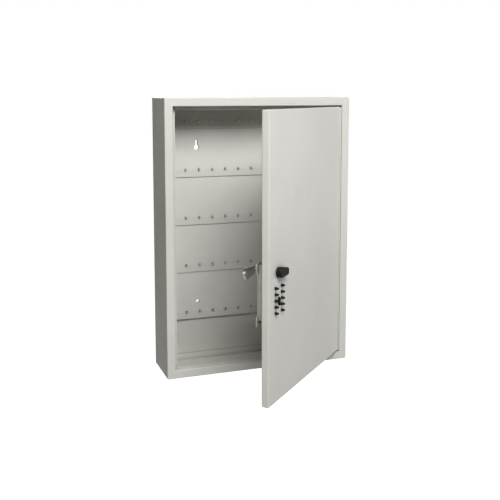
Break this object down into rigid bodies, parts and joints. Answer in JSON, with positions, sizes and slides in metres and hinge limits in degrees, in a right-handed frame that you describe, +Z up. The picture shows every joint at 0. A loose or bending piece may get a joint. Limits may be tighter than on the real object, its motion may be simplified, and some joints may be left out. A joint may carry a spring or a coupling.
{
  "type": "key cabinet",
  "caption": "Wall key cabinet of folded steel with shingled rows of key hooks and a piano-hinged door that carries a push-button lock with a turn lever and a latch cam.",
  "frame": {"origin": "centre of the flat back face that lies on the wall", "axes": "+Y into the wall, +X to the right of a person facing the cabinet, +Z up; the door stands open at 44.4 degrees"},
  "size_m": [0.346, 0.3118, 0.492],
  "materials": {
    "paint": "warm light grey powder coat, satin",
    "zinc": "zinc plated, dull",
    "cast_case": "die cast, fine grain",
    "black_plastic": "moulded, satin",
    "black_steel": "black oxide screws",
    "spring_steel": "bright wire",
    "brass": "machined"
  },
  "bodies": {
    "cabinet": {"cabinet_body": "paint", "back_panel": "paint", "hook_strip_1": "paint", "hook_strip_2": "paint", "hook_strip_3": "paint", "hook_strip_4": "paint", "hook_strip_5": "paint", "latch_strike": "zinc", "hinge_leaf_cabinet": "paint", "hinge_pin": "zinc"},
    "door": {"door_panel": "paint", "hinge_leaf_door": "paint", "lock_housing": "cast_case", "lock_rear_plate": "zinc", "button_guide_plate": "zinc", "lock_screw_1": "black_steel", "lock_screw_2": "black_steel", "lock_screw_3": "black_steel", "lock_screw_4": "black_steel", "button_spring_1": "spring_steel", "button_spring_2": "spring_steel", "button_spring_3": "spring_steel", "button_spring_4": "spring_steel", "button_spring_5": "spring_steel", "button_spring_6": "spring_steel", "button_spring_7": "spring_steel", "button_spring_8": "spring_steel", "button_spring_9": "spring_steel", "button_spring_10": "spring_steel", "clear_slide_spring": "spring_steel", "lever_spring": "spring_steel"},
    "lever_set": {"lever": "black_plastic", "spindle": "zinc", "drive_cam": "brass", "latch_cam": "zinc", "cam_nut": "zinc"},
    "clear_set": {"clear_slide": "black_plastic", "detent_plate": "zinc"},
    "locking_bar": {"locking_bar": "brass"},
    "button_1": {"button_1": "black_plastic"},
    "button_2": {"button_2": "black_plastic"},
    "button_3": {"button_3": "black_plastic"},
    "button_4": {"button_4": "black_plastic"},
    "button_5": {"button_5": "black_plastic"},
    "button_6": {"button_6": "black_plastic"},
    "button_7": {"button_7": "black_plastic"},
    "button_8": {"button_8": "black_plastic"},
    "button_9": {"button_9": "black_plastic"},
    "button_10": {"button_10": "black_plastic"}
  },
  "joints": [
    {"name": "door_hinge", "type": "hinge", "parent": "cabinet", "child": "door", "pos_m": [0.1553, -0.0927, 0], "axis": [0, 0, 1], "range_deg": [-44.4, 65.6]},
    {"name": "lever_turn", "type": "hinge", "parent": "door", "child": "lever_set", "pos_m": [-0.04156, -0.2873, -0.0216], "axis": [0.6997, -0.7145, 0], "range_deg": [0, 90], "stiffness_Nm_per_rad": 0.04, "springref_deg": -20.05, "deforming": ["lever_spring"]},
    {"name": "locking_bar_slide", "type": "slide", "parent": "door", "child": "locking_bar", "axis": [0, 0, -1], "range_m": [0, 0.003]},
    {"name": "clear_slide_lift", "type": "slide", "parent": "door", "child": "clear_set", "axis": [0, 0, 1], "range_m": [0, 0.004], "stiffness_N_per_m": 150, "springref_m": -0.004, "deforming": ["clear_slide_spring"]},
    {"name": "button_1_press", "type": "slide", "parent": "door", "child": "button_1", "axis": [-0.6997, 0.7145, 0], "range_m": [0, 0.0025], "stiffness_N_per_m": 200, "springref_m": -0.004, "deforming": ["button_spring_1"]},
    {"name": "button_2_press", "type": "slide", "parent": "door", "child": "button_2", "axis": [-0.6997, 0.7145, 0], "range_m": [0, 0.0025], "stiffness_N_per_m": 200, "springref_m": -0.004, "deforming": ["button_spring_2"]},
    {"name": "button_3_press", "type": "slide", "parent": "door", "child": "button_3", "axis": [-0.6997, 0.7145, 0], "range_m": [0, 0.0025], "stiffness_N_per_m": 200, "springref_m": -0.004, "deforming": ["button_spring_3"]},
    {"name": "button_4_press", "type": "slide", "parent": "door", "child": "button_4", "axis": [-0.6997, 0.7145, 0], "range_m": [0, 0.0025], "stiffness_N_per_m": 200, "springref_m": -0.004, "deforming": ["button_spring_4"]},
    {"name": "button_5_press", "type": "slide", "parent": "door", "child": "button_5", "axis": [-0.6997, 0.7145, 0], "range_m": [0, 0.0025], "stiffness_N_per_m": 200, "springref_m": -0.004, "deforming": ["button_spring_5"]},
    {"name": "button_6_press", "type": "slide", "parent": "door", "child": "button_6", "axis": [-0.6997, 0.7145, 0], "range_m": [0, 0.0025], "stiffness_N_per_m": 200, "springref_m": -0.004, "deforming": ["button_spring_6"]},
    {"name": "button_7_press", "type": "slide", "parent": "door", "child": "button_7", "axis": [-0.6997, 0.7145, 0], "range_m": [0, 0.0025], "stiffness_N_per_m": 200, "springref_m": -0.004, "deforming": ["button_spring_7"]},
    {"name": "button_8_press", "type": "slide", "parent": "door", "child": "button_8", "axis": [-0.6997, 0.7145, 0], "range_m": [0, 0.0025], "stiffness_N_per_m": 200, "springref_m": -0.004, "deforming": ["button_spring_8"]},
    {"name": "button_9_press", "type": "slide", "parent": "door", "child": "button_9", "axis": [-0.6997, 0.7145, 0], "range_m": [0, 0.0025], "stiffness_N_per_m": 200, "springref_m": -0.004, "deforming": ["button_spring_9"]},
    {"name": "button_10_press", "type": "slide", "parent": "door", "child": "button_10", "axis": [-0.6997, 0.7145, 0], "range_m": [0, 0.0025], "stiffness_N_per_m": 200, "springref_m": -0.004, "deforming": ["button_spring_10"]}
  ],
  "couplings": [
    {"joint": "locking_bar_slide", "follows": "lever_turn", "m_per_rad": 0.0019}
  ]
}
